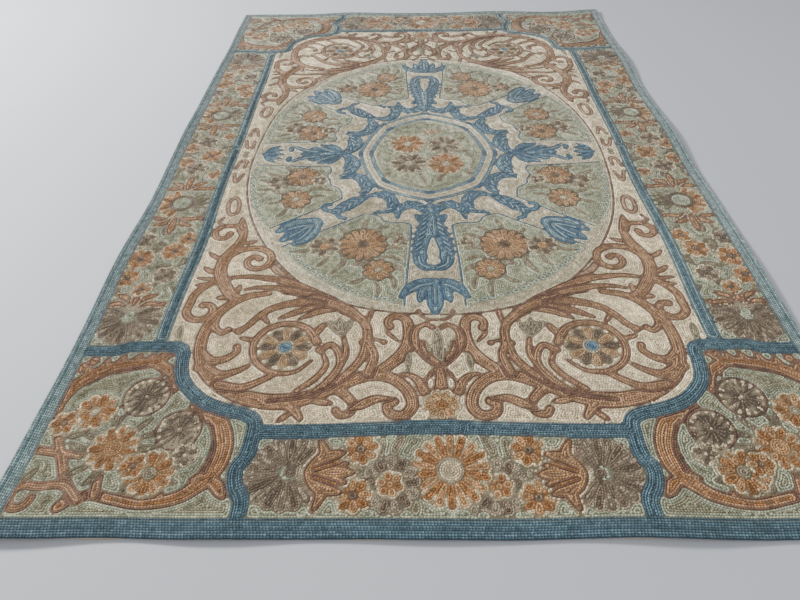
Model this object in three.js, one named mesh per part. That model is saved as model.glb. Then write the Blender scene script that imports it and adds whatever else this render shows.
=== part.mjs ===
// A chain-stitched wool rug lying flat, about 4 by 6 feet, with its cotton backing cloth.
// Millimetres. The origin is on the floor under the middle of the rug, +X is to its right,
// +Y runs along its length to the far end, and +Z is up.
//
// The rug is one canvas, worked all over with rows of wool chain stitch. Its edge border is eight
// long rows side by side, which stand up as ribs, and the outermost row rolls over the edge.
// The rest of the face is stitched finer than these solids show, so it is smooth here.
// The backing cloth is sewn under the canvas and peeps out at a few places of the near end.

import * as THREE from "three";

// Driving dimensions
const RUG_WIDTH = 1220;
const RUG_LENGTH = 1830;
const BACKING_THICKNESS = 1;
const CLOTH_GAP = 0.3;
const FACE_THICKNESS = 4.4;
const ROW_PITCH = 3.375;
const BORDER_ROWS = 8;
const ROW_FURROW = 0.7;
const EDGE_ROLL = 2.2;
const INNER_SPACING = 60;
const BACKING_INSET = 3;

// Where each edge draws in from the straight line: the place along it, half the length of the
// dip and how deep it is.
const EDGE_DIPS = [
  { side: "near", along: -440, half: 120, depth: 3 },
  { side: "near", along: -150, half: 160, depth: 1.5 },
  { side: "near", along: 210, half: 150, depth: 3 },
  { side: "near", along: 470, half: 90, depth: 1.5 },
  { side: "far", along: -380, half: 170, depth: 3 },
  { side: "far", along: 60, half: 200, depth: 2 },
  { side: "far", along: 420, half: 140, depth: 3.5 },
  { side: "left", along: -620, half: 190, depth: 3 },
  { side: "left", along: -180, half: 230, depth: 5 },
  { side: "left", along: 190, half: 120, depth: 3 },
  { side: "left", along: 560, half: 220, depth: 4 },
  { side: "right", along: -520, half: 240, depth: 4 },
  { side: "right", along: -40, half: 170, depth: 3 },
  { side: "right", along: 330, half: 180, depth: 5 },
  { side: "right", along: 690, half: 130, depth: 2.5 },
];
const DIP_FADES_OVER = 90;

// Where the cloth lifts off the floor: the top of each ripple, how far it reaches along X and
// Y, and how high it stands.
const LIFTS = [
  { x: -610, y: -915, reachX: 230, reachY: 130, rise: 7 },
  { x: -300, y: -915, reachX: 130, reachY: 90, rise: 3.5 },
  { x: -20, y: -915, reachX: 150, reachY: 80, rise: 2.5 },
  { x: 290, y: -915, reachX: 150, reachY: 110, rise: 5 },
  { x: 610, y: -915, reachX: 200, reachY: 140, rise: 5 },
  { x: -610, y: -350, reachX: 90, reachY: 190, rise: 4 },
  { x: -610, y: 160, reachX: 100, reachY: 150, rise: 5 },
  { x: -610, y: 520, reachX: 80, reachY: 160, rise: 3 },
  { x: 610, y: -440, reachX: 80, reachY: 180, rise: 3 },
  { x: 610, y: 60, reachX: 100, reachY: 170, rise: 5 },
  { x: 610, y: 500, reachX: 90, reachY: 170, rise: 4 },
  { x: -240, y: 915, reachX: 170, reachY: 90, rise: 4 },
  { x: 250, y: 915, reachX: 190, reachY: 80, rise: 3 },
  { x: 600, y: 915, reachX: 120, reachY: 110, rise: 5 },
];

// Where the backing cloth peeps out past the near end of the face.
const BACKING_SHOWS = [
  { along: -450, half: 80, past: 1.6 },
  { along: -100, half: 70, past: 0.8 },
  { along: 240, half: 60, past: 1 },
];
const SHOW_FADES_OVER = 20;

// A soft bump: 1 in the middle, 0 from a distance of 1 on.
const swell = (t) => (Math.abs(t) < 1 ? (1 + Math.cos(Math.PI * t)) / 2 : 0);

// How high the underside of the cloth lies over the floor.
function lift(x, y) {
  return LIFTS.reduce(
    (height, l) =>
      height + l.rise * swell((x - l.x) / l.reachX) * swell((y - l.y) / l.reachY),
    0,
  );
}

// How far one edge draws in at a place along it.
function dip(side, along) {
  return EDGE_DIPS.filter((d) => d.side === side).reduce(
    (depth, d) => depth + d.depth * swell((along - d.along) / d.half),
    0,
  );
}

// A point of the straight-sided rug, moved in with the edges that it lies near.
function drawnIn(x, y) {
  const fade = (inset) => swell(inset / DIP_FADES_OVER);
  const halfWidth = RUG_WIDTH / 2;
  const halfLength = RUG_LENGTH / 2;
  return [
    x + dip("left", y) * fade(halfWidth + x) - dip("right", y) * fade(halfWidth - x),
    y + dip("near", x) * fade(halfLength + y) - dip("far", x) * fade(halfLength - y),
  ];
}

// The distances in from an edge at which the face has a line of points: both sides and the
// middle of each border row, with a few more where the outermost row rolls over.
function borderInsets() {
  const insets = [0, EDGE_ROLL / 4];
  for (let half = 1; half <= 2 * BORDER_ROWS; half += 1) {
    insets.push((half * ROW_PITCH) / 2);
  }
  return insets;
}

// Grid lines across a side of the rug, from its one edge to the other.
function gridLines(length, insets) {
  const half = length / 2;
  const inner = insets[insets.length - 1];
  const steps = Math.round((length - 2 * inner) / INNER_SPACING);
  const step = (length - 2 * inner) / steps;
  const between = Array.from({ length: steps - 1 }, (_, i) => -half + inner + (i + 1) * step);
  return [
    ...insets.map((inset) => -half + inset),
    ...between,
    ...insets.map((inset) => half - inset).reverse(),
  ];
}

// How far the face lies under its full thickness, at a distance in from the nearest edge.
function faceDrop(inset) {
  const rolled = EDGE_ROLL * (1 - Math.sqrt(Math.min(1, (2 * inset) / ROW_PITCH)));
  const inRows = inset < BORDER_ROWS * ROW_PITCH;
  const furrow = inRows ? (ROW_FURROW * (1 + Math.cos((2 * Math.PI * inset) / ROW_PITCH))) / 2 : 0;
  return Math.max(rolled, furrow);
}

const insetOf = (x, y) =>
  Math.min(RUG_WIDTH / 2 - Math.abs(x), RUG_LENGTH / 2 - Math.abs(y));

// One closed sheet between two grids that share their corner lines. The lower grid's lines are
// some of the upper grid's, so each wall is a strip that joins the two rims.
function sheetGeometry(upperX, upperY, lowerX, lowerY, upperPoint, lowerPoint) {
  const positions = [];
  const triangles = [];

  function addGrid(xs, ys, point, facesUp) {
    const start = positions.length / 3;
    xs.forEach((x) => ys.forEach((y) => positions.push(...point(x, y))));
    const at = (i, j) => start + i * ys.length + j;
    for (let i = 0; i + 1 < xs.length; i += 1) {
      for (let j = 0; j + 1 < ys.length; j += 1) {
        const [a, b, c, d] = [at(i, j), at(i + 1, j), at(i + 1, j + 1), at(i, j + 1)];
        triangles.push(...(facesUp ? [a, b, c, a, c, d] : [a, c, b, a, d, c]));
      }
    }
    return at;
  }

  // The grid's outer points in order round the rim, each with its place on the straight sheet.
  function rim(xs, ys, at) {
    const last = xs.length - 1;
    const end = ys.length - 1;
    return [
      ...xs.map((x, i) => ({ x, y: ys[0], index: at(i, 0) })),
      ...ys.slice(1).map((y, j) => ({ x: xs[last], y, index: at(last, j + 1) })),
      ...xs.slice(0, last).reverse().map((x, k) => ({ x, y: ys[end], index: at(last - 1 - k, end) })),
      ...ys.slice(0, end).reverse().map((y, k) => ({ x: xs[0], y, index: at(0, end - 1 - k) })),
    ];
  }

  const upper = rim(upperX, upperY, addGrid(upperX, upperY, upperPoint, true));
  const lower = rim(lowerX, lowerY, addGrid(lowerX, lowerY, lowerPoint, false));
  const same = (a, b) => a.x === b.x && a.y === b.y;
  for (let l = 0, u = 0; l + 1 < lower.length; l += 1) {
    triangles.push(lower[l].index, lower[l + 1].index, upper[u].index);
    while (!same(upper[u], lower[l + 1])) {
      triangles.push(upper[u].index, lower[l + 1].index, upper[u + 1].index);
      u += 1;
    }
  }

  const geometry = new THREE.BufferGeometry();
  geometry.setAttribute("position", new THREE.Float32BufferAttribute(positions, 3));
  geometry.setIndex(triangles);
  geometry.computeVertexNormals();
  return geometry;
}

// The stitched canvas, with its ribbed border and its rolled edge.
function rugFace() {
  const insets = borderInsets();
  const rimOnly = [0, insets[insets.length - 1]];
  const underside = BACKING_THICKNESS + CLOTH_GAP;
  const top = (x, y) => {
    const [px, py] = drawnIn(x, y);
    return [px, py, lift(px, py) + underside + FACE_THICKNESS - faceDrop(insetOf(x, y))];
  };
  const bottom = (x, y) => {
    const [px, py] = drawnIn(x, y);
    return [px, py, lift(px, py) + underside];
  };
  return sheetGeometry(
    gridLines(RUG_WIDTH, insets),
    gridLines(RUG_LENGTH, insets),
    gridLines(RUG_WIDTH, rimOnly),
    gridLines(RUG_LENGTH, rimOnly),
    top,
    bottom,
  );
}

// The backing cloth, a little smaller than the face but for where it peeps out.
function backingCloth() {
  const shows = (x) =>
    BACKING_SHOWS.reduce((past, s) => past + (s.past + BACKING_INSET) * swell((x - s.along) / s.half), 0);
  const place = (x, y) => {
    const [px, py] = drawnIn(x, y);
    const atNearEnd = swell((y + RUG_LENGTH / 2 - BACKING_INSET) / SHOW_FADES_OVER);
    return [px, py - shows(x) * atNearEnd];
  };
  const layer = (height) => (x, y) => {
    const [px, py] = place(x, y);
    return [px, py, lift(px, py) + height];
  };
  const rim = [BACKING_INSET, BORDER_ROWS * ROW_PITCH];
  const xs = gridLines(RUG_WIDTH, rim);
  const ys = gridLines(RUG_LENGTH, rim);
  return sheetGeometry(xs, ys, xs, ys, layer(BACKING_THICKNESS), layer(0));
}

const wool = new THREE.MeshStandardMaterial({ color: 0xa9a88f, roughness: 0.95, metalness: 0 });
const cotton = new THREE.MeshStandardMaterial({ color: 0xc9bda9, roughness: 0.9, metalness: 0 });

function piece(name, geometry, material) {
  const mesh = new THREE.Mesh(geometry, material);
  mesh.name = name;
  return mesh;
}

const rug = new THREE.Group();
rug.add(piece("rug_face", rugFace(), wool));
rug.add(piece("backing_cloth", backingCloth(), cotton));

export default rug;
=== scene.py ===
import math

import bpy
import numpy as np
from mathutils import Matrix, Vector


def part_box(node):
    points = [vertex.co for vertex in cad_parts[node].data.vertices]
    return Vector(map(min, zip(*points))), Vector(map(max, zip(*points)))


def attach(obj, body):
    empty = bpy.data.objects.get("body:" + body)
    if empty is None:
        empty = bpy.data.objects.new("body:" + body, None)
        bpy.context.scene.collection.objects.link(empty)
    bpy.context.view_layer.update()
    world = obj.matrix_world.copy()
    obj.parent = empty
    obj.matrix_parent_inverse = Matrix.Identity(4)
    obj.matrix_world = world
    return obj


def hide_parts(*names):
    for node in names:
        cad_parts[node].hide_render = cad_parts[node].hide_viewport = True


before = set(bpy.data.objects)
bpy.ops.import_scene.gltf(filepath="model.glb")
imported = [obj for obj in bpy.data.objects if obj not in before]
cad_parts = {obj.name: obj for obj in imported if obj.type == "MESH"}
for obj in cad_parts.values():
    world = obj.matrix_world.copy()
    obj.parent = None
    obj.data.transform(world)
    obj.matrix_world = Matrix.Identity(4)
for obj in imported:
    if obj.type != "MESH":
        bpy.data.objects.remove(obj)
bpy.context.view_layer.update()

# A wool rug worked all over in chain stitch. Blender's lengths are metres, and the drawing on the
# canvas is in millimetres, from the middle of the rug: x to its right and y to its far end.
MM = 0.001
low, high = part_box("rug_face")
RUG_WIDTH = round((high.x - low.x) / MM)
RUG_LENGTH = round((high.y - low.y) / MM)
HALF_WIDTH, HALF_LENGTH = RUG_WIDTH / 2, RUG_LENGTH / 2

BACKING_THICKNESS = 1.0
CLOTH_GAP = 0.3
FACE_THICKNESS = 4.4
STITCH_HEIGHT = 1.7
CANVAS_TOP = BACKING_THICKNESS + CLOTH_GAP + FACE_THICKNESS - STITCH_HEIGHT

ROW = 3.375
STITCH = 4.2
BORDER_ROWS = 8
BORDER = BORDER_ROWS * ROW

# Where each edge draws in: the side, the place along it, half the dip's length and its depth.
EDGE_DIPS = [
    ("near", -440, 120, 3), ("near", -150, 160, 1.5), ("near", 210, 150, 3), ("near", 470, 90, 1.5),
    ("far", -380, 170, 3), ("far", 60, 200, 2), ("far", 420, 140, 3.5),
    ("left", -620, 190, 3), ("left", -180, 230, 5), ("left", 190, 120, 3), ("left", 560, 220, 4),
    ("right", -520, 240, 4), ("right", -40, 170, 3), ("right", 330, 180, 5), ("right", 690, 130, 2.5),
]
DIP_FADES_OVER = 90

# Where the cloth lifts off the floor: x, y, the reach along x and y, and the rise.
LIFTS = [
    (-610, -915, 230, 130, 7), (-300, -915, 130, 90, 3.5), (-20, -915, 150, 80, 2.5),
    (290, -915, 150, 110, 5), (610, -915, 200, 140, 5), (-610, -350, 90, 190, 4),
    (-610, 160, 100, 150, 5), (-610, 520, 80, 160, 3), (610, -440, 80, 180, 3),
    (610, 60, 100, 170, 5), (610, 500, 90, 170, 4), (-240, 915, 170, 90, 4),
    (250, 915, 190, 80, 3), (600, 915, 120, 110, 5),
]

# Where the backing cloth peeps out at the near end: the place, half its length and how far.
BACKING_SHOWS = [(-450, 80, 1.6), (-100, 70, 0.8), (240, 60, 1.0)]
BACKING_INSET = 3
SHOW_FADES_OVER = 20


def swell(t):
    """A soft bump: 1 in the middle, 0 from a distance of 1 on."""
    return (1 + np.cos(np.pi * np.clip(t, -1, 1))) / 2


def lift(x, y):
    """How high the underside of the cloth lies over the floor."""
    return sum(rise * swell((x - cx) / rx) * swell((y - cy) / ry) for cx, cy, rx, ry, rise in LIFTS)


def dip(side, along):
    """How far one edge draws in at a place along it."""
    return sum(depth * swell((along - at) / half) for name, at, half, depth in EDGE_DIPS if name == side)


def drawn_in(x, y):
    """A point of the straight-sided rug, moved in with the edges that it lies near."""
    def fade(inset):
        return swell(inset / DIP_FADES_OVER)
    across = dip("left", y) * fade(HALF_WIDTH + x) - dip("right", y) * fade(HALF_WIDTH - x)
    along = dip("near", x) * fade(HALF_LENGTH + y) - dip("far", x) * fade(HALF_LENGTH - y)
    return x + across, y + along


def laid(x, y, z):
    """A point of the flat rug where it lies on the floor, in metres."""
    px, py = drawn_in(x, y)
    return np.stack([px, py, lift(px, py) + z], axis=-1) * MM


# The yarns: the piece that each belongs to, and its colour as the eye sees it, 0 to 255.
YARNS = {
    "slate": ("border_stitches", (72, 94, 105)),
    "teal": ("border_stitches", (93, 118, 126)),
    "mist": ("border_stitches", (146, 165, 158)),
    "sage": ("ground_stitches", (168, 163, 131)),
    "mint": ("ground_stitches", (180, 184, 154)),
    "moss": ("panel_stitches", (188, 189, 156)),
    "reed": ("panel_stitches", (194, 199, 165)),
    "cream": ("field_stitches", (255, 234, 189)),
    "linen": ("medallion_stitches", (228, 214, 178)),
    "tan": ("scroll_stitches", (182, 142, 105)),
    "fawn": ("scroll_stitches", (198, 163, 128)),
    "umber": ("outline_stitches", (116, 84, 70)),
    "cocoa": ("outline_stitches", (130, 96, 79)),
    "navy": ("ornament_stitches", (74, 103, 126)),
    "blue": ("ornament_stitches", (112, 142, 156)),
    "sky": ("ornament_stitches", (160, 181, 180)),
    "steel": ("ornament_stitches", (104, 134, 146)),
    "rust": ("petal_stitches", (170, 119, 71)),
    "amber": ("petal_stitches", (196, 151, 103)),
    "gold": ("petal_stitches", (192, 156, 112)),
    "bark": ("leaf_stitches", (127, 109, 89)),
    "taupe": ("leaf_stitches", (165, 149, 123)),
    "olive": ("leaf_stitches", (160, 151, 118)),
    "shell": ("halo_stitches", (218, 200, 160)),
}

# What each kind of motif is worked in: its rows' yarns from its edge inwards, the last repeated.
STYLES = {
    "ground": ("mint", "mint", "sage"),
    "field": ("cream",),
    "medallion": ("linen",),
    "panel": ("reed", "moss"),
    # The bands of the sides and the far end are worked lighter than the near end's: painted light, for
    # how the light falls on them.
    "band": ("slate", "teal"),
    "lit side band": ("teal", "mist", "teal", "teal"),
    "scroll": ("umber", "tan"),
    "scroll light": ("cocoa", "fawn"),
    "palmette": ("umber", "amber", "tan"),
    "arch": ("umber", "tan", "rust", "tan"),
    "vein": ("umber",),
    "stem": ("cocoa", "tan"),
    "ring": ("umber",),
    "wedge edge": ("navy",),
    "frame": ("steel", "sky"),
    "ornament": ("navy", "blue", "sky", "blue"),
    "ornament light": ("sky",),
    "bead": ("steel",),
    "orange": ("rust",),
    "orange light": ("amber",),
    "peach": ("amber",),
    "peach light": ("gold", "amber"),
    "daisy": ("bark",),
    "daisy light": ("bark", "taupe"),
    "halo": ("shell",),
    "gold": ("gold",),
    "gold light": ("amber",),
    "brown": ("bark",),
    "brown light": ("taupe",),
    "grey": ("taupe",),
    "leaf": ("olive", "taupe"),
    "leaf dark": ("bark", "olive"),
    "heart": ("taupe", "shell"),
    "heart dark": ("bark",),
    "heart blue": ("blue",),
    "pale": ("shell",),
    "mist heart": ("mint",),
}

# The drawing's grid, how far past a motif its distances are kept, the half width under which a
# stroke has one row only and how long that row is at least, the step between a line's points, and
# how many of them are measured at once.
CELL = 1.25
REACH = 45
THIN = 0.8 * ROW
SHORTEST_THIN = 1.4 * STITCH
STEP = 2.0
CHUNK = 12
# How wide a leaf and a petal are from their root to their tip, as shares of their width.
LEAF_WIDTHS = (0.45, 0.8, 1, 0.95, 0.45)
PETAL_WIDTHS = (0.65, 1, 1.18)
# How many rows a petal has at its widest, from a flower's radius on.
PETAL_ROWS = ((18, 3), (12, 2), (0, 1))
# Where between its middle and its rim a flower's petals are counted, the rows from one petal to
# the next, and how far the gap between them reaches past each and out from the middle.
COUNTED_AT = 0.72
BETWEEN_PETALS = 1.1
PETAL_GAP = 1.05 * ROW
HEART_GAP = 0.6
# How much wider the scrolls and their round ends are worked than they are drawn.
SCROLL_WIDER, BALL_WIDER = 1.2, 1.15
# Where along a stem its lobes start and over what share of it they follow, how wide a lobe is for
# its reach and at least, and its bow.
LOBES_FROM, LOBES_OVER = 0.12, 0.76
LOBE_WIDTH, LOBE_LEAST, LOBE_BOW = 0.55, 5, -0.1
# Between which shares of a leaf its feathered lines start, and how far they reach past its edge.
FEATHERS_FROM, FEATHERS_TO, FEATHER_REACH = 0.1, 0.84, 1.05
# A palmette's lobes in pairs: their lean, and their length and width as shares of its size. The
# pair that leans most ends in curls.
PALMETTE = ((86, 0.98, 0.24), (50, 0.88, 0.26), (0, 1.0, 0.3))
PALMETTE_BOW = -0.14
CURLED = 70

RIB = 5
ROSETTE = 253+598j
BORDER_MIDDLE = 530
MEDALLION_WIDTH = 822
MEDALLION_FLAT = 527 / 411
MEDALLION_POWER = 2.2


class Canvas:
    """The drawing on the canvas, on a fine grid: which motif each cell lies in, and how far it is
    from that motif's edge. Rows of stitches later follow the lines of equal distance."""

    def __init__(self):
        self.xs = np.arange(-HALF_WIDTH + CELL / 2, HALF_WIDTH, CELL)
        self.ys = np.arange(-HALF_LENGTH + CELL / 2, HALF_LENGTH, CELL)
        self.at = (self.xs[None, :] + 1j * self.ys[:, None]).astype(np.complex64)
        inset = np.minimum(HALF_WIDTH - abs(self.at.real), HALF_LENGTH - abs(self.at.imag))
        self.inside_border = inset > BORDER
        self.edge_gap = (inset - BORDER).astype(np.float32)
        self.depth = self.edge_gap.copy()
        self.owner = np.zeros(self.depth.shape, np.int32)
        self.motifs = ["ground"]
        self.lines = []
        self.side, self.end = 1, 1

    def place(self, points):
        """A point of the quarter that is being drawn, where it lies on the rug: the hand that
        drew it on the canvas wandered a little."""
        points = np.atleast_1d(np.asarray(points, complex))
        x, y = self.side * points.real, self.end * points.imag
        wander_x = 1.6 * np.sin(y / 61 + 0.7) + 1.2 * np.sin(x / 47 + y / 83 + 2.1)
        wander_y = 1.5 * np.sin(x / 57 + 1.9) + 1.3 * np.sin(y / 43 - x / 91 + 0.4)
        return (x + wander_x) + 1j * (y + wander_y)

    def window(self, points, margin):
        """The part of the grid within a margin of the points."""
        def span(values, origin, count):
            first = int((values.min() - margin - origin) / CELL)
            last = int((values.max() + margin - origin) / CELL) + 2
            return max(first, 0), min(max(last, 0), count)
        y0, y1 = span(points.imag, self.ys[0], len(self.ys))
        x0, x1 = span(points.real, self.xs[0], len(self.xs))
        return y0, max(y1, y0), x0, max(x1, x0)

    def cell(self, points):
        """The grid cell that each point lies in."""
        column = np.clip(np.rint((points.real - self.xs[0]) / CELL), 0, len(self.xs) - 1)
        row = np.clip(np.rint((points.imag - self.ys[0]) / CELL), 0, len(self.ys) - 1)
        return row.astype(int), column.astype(int)

    def paint(self, style, *strokes):
        """Works a motif, the union of its strokes, over what is there."""
        serial = len(self.motifs)
        self.motifs.append(style)
        strokes = [(self.place(points), np.asarray(half, float)) for points, half in strokes]
        every = np.concatenate([points for points, half in strokes])
        widest = max(half.max() for points, half in strokes)
        y0, y1, x0, x1 = self.window(every, widest + REACH)
        cover = np.full((y1 - y0, x1 - x0), -REACH, np.float32)
        for points, half in strokes:
            for first in range(0, len(points), CHUNK):
                some, radii = points[first:first + CHUNK], half[first:first + CHUNK]
                v0, v1, u0, u1 = self.window(some, radii.max() + REACH)
                near = self.at[v0:v1, u0:u1, None] - some.astype(np.complex64)
                reach = (radii.astype(np.float32) - abs(near)).max(axis=-1)
                part = cover[v0 - y0:v1 - y0, u0 - x0:u1 - x0]
                np.maximum(part, reach, out=part)
        depth, owner = self.depth[y0:y1, x0:x1], self.owner[y0:y1, x0:x1]
        inside = cover > 0
        depth[...] = np.where(inside, cover, np.minimum(depth, -cover))
        owner[inside] = serial
        for points, half in strokes:
            row, column = self.cell(points)
            row, column = np.clip(row - y0, 0, y1 - y0 - 1), np.clip(column - x0, 0, x1 - x0 - 1)
            self.add_thin_rows(points, cover[row, column] < THIN, serial)

    def add_thin_rows(self, points, thin, serial):
        """Where a stroke is too thin for an edge row on each side, one row runs down its middle."""
        for first, last in runs_of(thin):
            run = points[first:last]
            if len(run) > 1 and abs(np.diff(run)).sum() > SHORTEST_THIN:
                self.lines.append((run, serial))

    def fill(self, outline, style):
        """Gives the inside of an outline another ground, with no rows of its own round the edge."""
        serial = len(self.motifs)
        self.motifs.append(style)
        corners = self.place(np.array(outline))
        y0, y1, x0, x1 = self.window(corners, 0)
        at = self.at[y0:y1, x0:x1]
        inside = np.zeros(at.shape, bool)
        for a, b in zip(corners, np.roll(corners, -1)):
            crosses = (at.imag < a.imag) != (at.imag < b.imag)
            rise = (b.imag - a.imag) or 1.0
            inside ^= crosses & (at.real < a.real + (at.imag - a.imag) * (b.real - a.real) / rise)
        self.owner[y0:y1, x0:x1][inside] = serial

    def line(self, style, *paths, width=ROW):
        """Strokes of one width, such as one row of stitches, along smooth lines."""
        self.paint(style, *[stroke(points, [width]) for points in paths])

    def quarters(self):
        """Each quarter of the rug in turn, so that what is drawn once is mirrored to all four."""
        for self.side in (1, -1):
            for self.end in (1, -1):
                yield self
        self.side = self.end = 1


def turn(degrees):
    """A step of one unit at a bearing, anticlockwise from x."""
    return complex(math.cos(math.radians(degrees)), math.sin(math.radians(degrees)))


def lengths_along(line):
    """How far along a line each of its points lies."""
    return np.concatenate([[0], np.cumsum(abs(np.diff(line)))])


def runs_of(flags):
    """Where each run of true flags starts, and where it has ended."""
    changes = np.diff(np.concatenate([[False], flags, [False]]).astype(int))
    return np.flatnonzero(changes).reshape(-1, 2)


def spline(points):
    """A smooth line through the points, with a point about every STEP."""
    p = np.array(points, complex)
    q = np.concatenate([[2 * p[0] - p[1]], p, [2 * p[-1] - p[-2]]])
    made = []
    for a, b, c, d in zip(q, q[1:], q[2:], q[3:]):
        t = np.linspace(0, 1, max(2, math.ceil(abs(c - b) / STEP)), endpoint=False)
        bend = 2 * a - 5 * b + 4 * c - d
        made.append((2 * b + (c - a) * t + bend * t ** 2 + (3 * b - a - 3 * c + d) * t ** 3) / 2)
    made.append(p[-1:])
    return np.concatenate(made)


def stroke(points, widths):
    """A stroke along a smooth line, with its widths at even steps from its start to its end."""
    line = spline(points)
    along = lengths_along(line)
    half = np.interp(along / along[-1], np.linspace(0, 1, len(widths)), widths) / 2
    return line, half


def dot(centre, radius):
    return np.array([centre], complex), np.array([float(radius)])


def ring(centre, radius, width, flat=1.0, power=2.0):
    """A closed ring, flat times as long along y as across, squarer where the power is over 2."""
    around = np.arange(0, 2 * math.pi, STEP / radius)
    cos, sin = np.cos(around), np.sin(around)
    squared = (abs(cos) ** power + abs(sin) ** power) ** (-1 / power)
    line = centre + radius * squared * (cos + 1j * flat * sin)
    return np.append(line, line[0]), np.full(len(line) + 1, width / 2)


def curl(centre, radius, start, sweep, shrink=0.4):
    """Points of a spiral: from a bearing about the centre, wound by the sweep as it shrinks."""
    count = max(3, math.ceil(abs(sweep) / 40))
    share = np.linspace(0, 1, count + 1)
    return [centre + radius * (1 - (1 - shrink) * s) * turn(start + sweep * s) for s in share]


def leaf(root, tip, width, bow=0.0):
    """A leaf or petal from its root to its tip, bowed to its left by a share of its length."""
    along = tip - root
    belly = root + along * 0.55 + 1j * along * bow
    return stroke([root, root + along * 0.25 + 0.75j * along * bow, belly, tip],
                  [share * width for share in LEAF_WIDTHS])


def petals(centre, inner, outer, count, width, spin=0.0, arc=360.0):
    """Petals round a centre, or round part of it."""
    made = []
    for i in range(count):
        way = turn(spin + arc * i / count)
        reach = max(outer - width / 2, inner + 1)
        made.append(stroke([centre + inner * way, centre + reach * way],
                           [share * width for share in PETAL_WIDTHS]))
    return made


def wider(strokes, by):
    return [(points, half + by) for points, half in strokes]


def flower(canvas, centre, radius, style, heart, core, spin, arc=360.0, gap="halo"):
    """A flower: petals of two tones with one row of another yarn between each two, and a heart."""
    rows = next(rows for least, rows in PETAL_ROWS if radius >= least)
    around = math.radians(arc) * COUNTED_AT * radius
    count = round(around / ((rows + BETWEEN_PETALS) * ROW))
    made = petals(centre, core * radius, radius, count, rows * ROW + 0.3, spin, arc)
    canvas.paint(gap, *wider(made, PETAL_GAP), dot(centre, HEART_GAP * radius))
    canvas.paint(style, *made[0::2])
    canvas.paint(style + " light", *made[1::2])
    canvas.paint(heart, dot(centre, core * radius))


def flowers(canvas, *table):
    """Flowers, each worked over the ones before it."""
    for row in table:
        flower(canvas, *row)


def leaves(canvas, style, width, bow, *table):
    """Leaves of one kind, each worked over the ones before it."""
    for root, tip in table:
        canvas.paint(style, leaf(root, tip, width, bow))


def ahead(line, at):
    """A step of one unit along a line, at one of its points."""
    way = line[min(at + 3, len(line) - 1)] - line[max(at - 3, 0)]
    return way / abs(way)


def frond(points, widths, lobes, reach, side=1, lean=48):
    """A stem with leaf lobes down one side of it, all leaning forwards: a side of 1 is its left."""
    line, half = stroke(points, widths)
    made = [(line, half)]
    for i in range(lobes):
        at = int(len(line) * (LOBES_FROM + LOBES_OVER * i / max(lobes - 1, 1)))
        way = ahead(line, at) * turn(side * lean)
        size = reach * (0.75 + 0.25 * math.sin(math.pi * (i + 0.5) / lobes))
        made.append(leaf(line[at], line[at] + (half[at] + size) * way,
                         LOBE_WIDTH * size + LOBE_LEAST, LOBE_BOW * side))
    return made


def feathers(points, widths, count, side, lean=36):
    """Short lines that lean forwards out of the middle of a leaf, towards one side of it."""
    line, half = stroke(points, widths)
    made = []
    for at in np.linspace(FEATHERS_FROM * len(line), FEATHERS_TO * len(line), count).astype(int):
        way = ahead(line, at) * turn(side * lean)
        made.append(stroke([line[at], line[at] + FEATHER_REACH * half[at] * way], [ROW]))
    return made


def draw_grounds(canvas):
    """The cream field inside the bands, and the medallion on it."""
    field = []
    for side, end in ((1, 1), (-1, 1), (-1, -1), (1, -1)):
        quarter = [462+0j, 462+600j, 417+612j, 400+672j, 368+703j, 330+719j, 277+738j, 276+753j]
        corner = [complex(side * z.real, end * z.imag) for z in quarter]
        field += corner if side == end else corner[::-1]
    canvas.fill(field, "field")
    oval, half = ring(0, MEDALLION_WIDTH / 2, 1.4 * ROW, MEDALLION_FLAT, MEDALLION_POWER)
    canvas.fill(oval[::8], "medallion")
    canvas.paint("ring", (oval, half))


def draw_bands(canvas):
    """The blue bands that part the border from the field, and the corner panels from both."""
    corner = [598+601j, 560+601j, 527+600j, 512+594j, 470+594j, 428+597j, 417+609j, 414+635j,
              402+670j, 368+703j, 330+719j, 294+728j, 278+740j, 276+765j, 278+795j,
              288+817j, 284+842j, 271+865j, 270+898j]
    # The near end's bands are worked darker than the rest: painted light, for how the light falls on
    # them.
    canvas.paint("lit side band", stroke([461-20j, 461+300j, 461+596j], [24]))
    canvas.paint("band" if canvas.end < 0 else "lit side band", stroke(corner, [23]),
                 stroke([-20+753j, 140+754j, 276+756j], [24]))


def scroll(points, widths, end=0.0):
    """A scroll's stem, with a round end where one is asked for."""
    made = [stroke(points, [SCROLL_WIDER * width for width in widths])]
    return made + [dot(points[-1], BALL_WIDER * end)] if end else made


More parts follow.
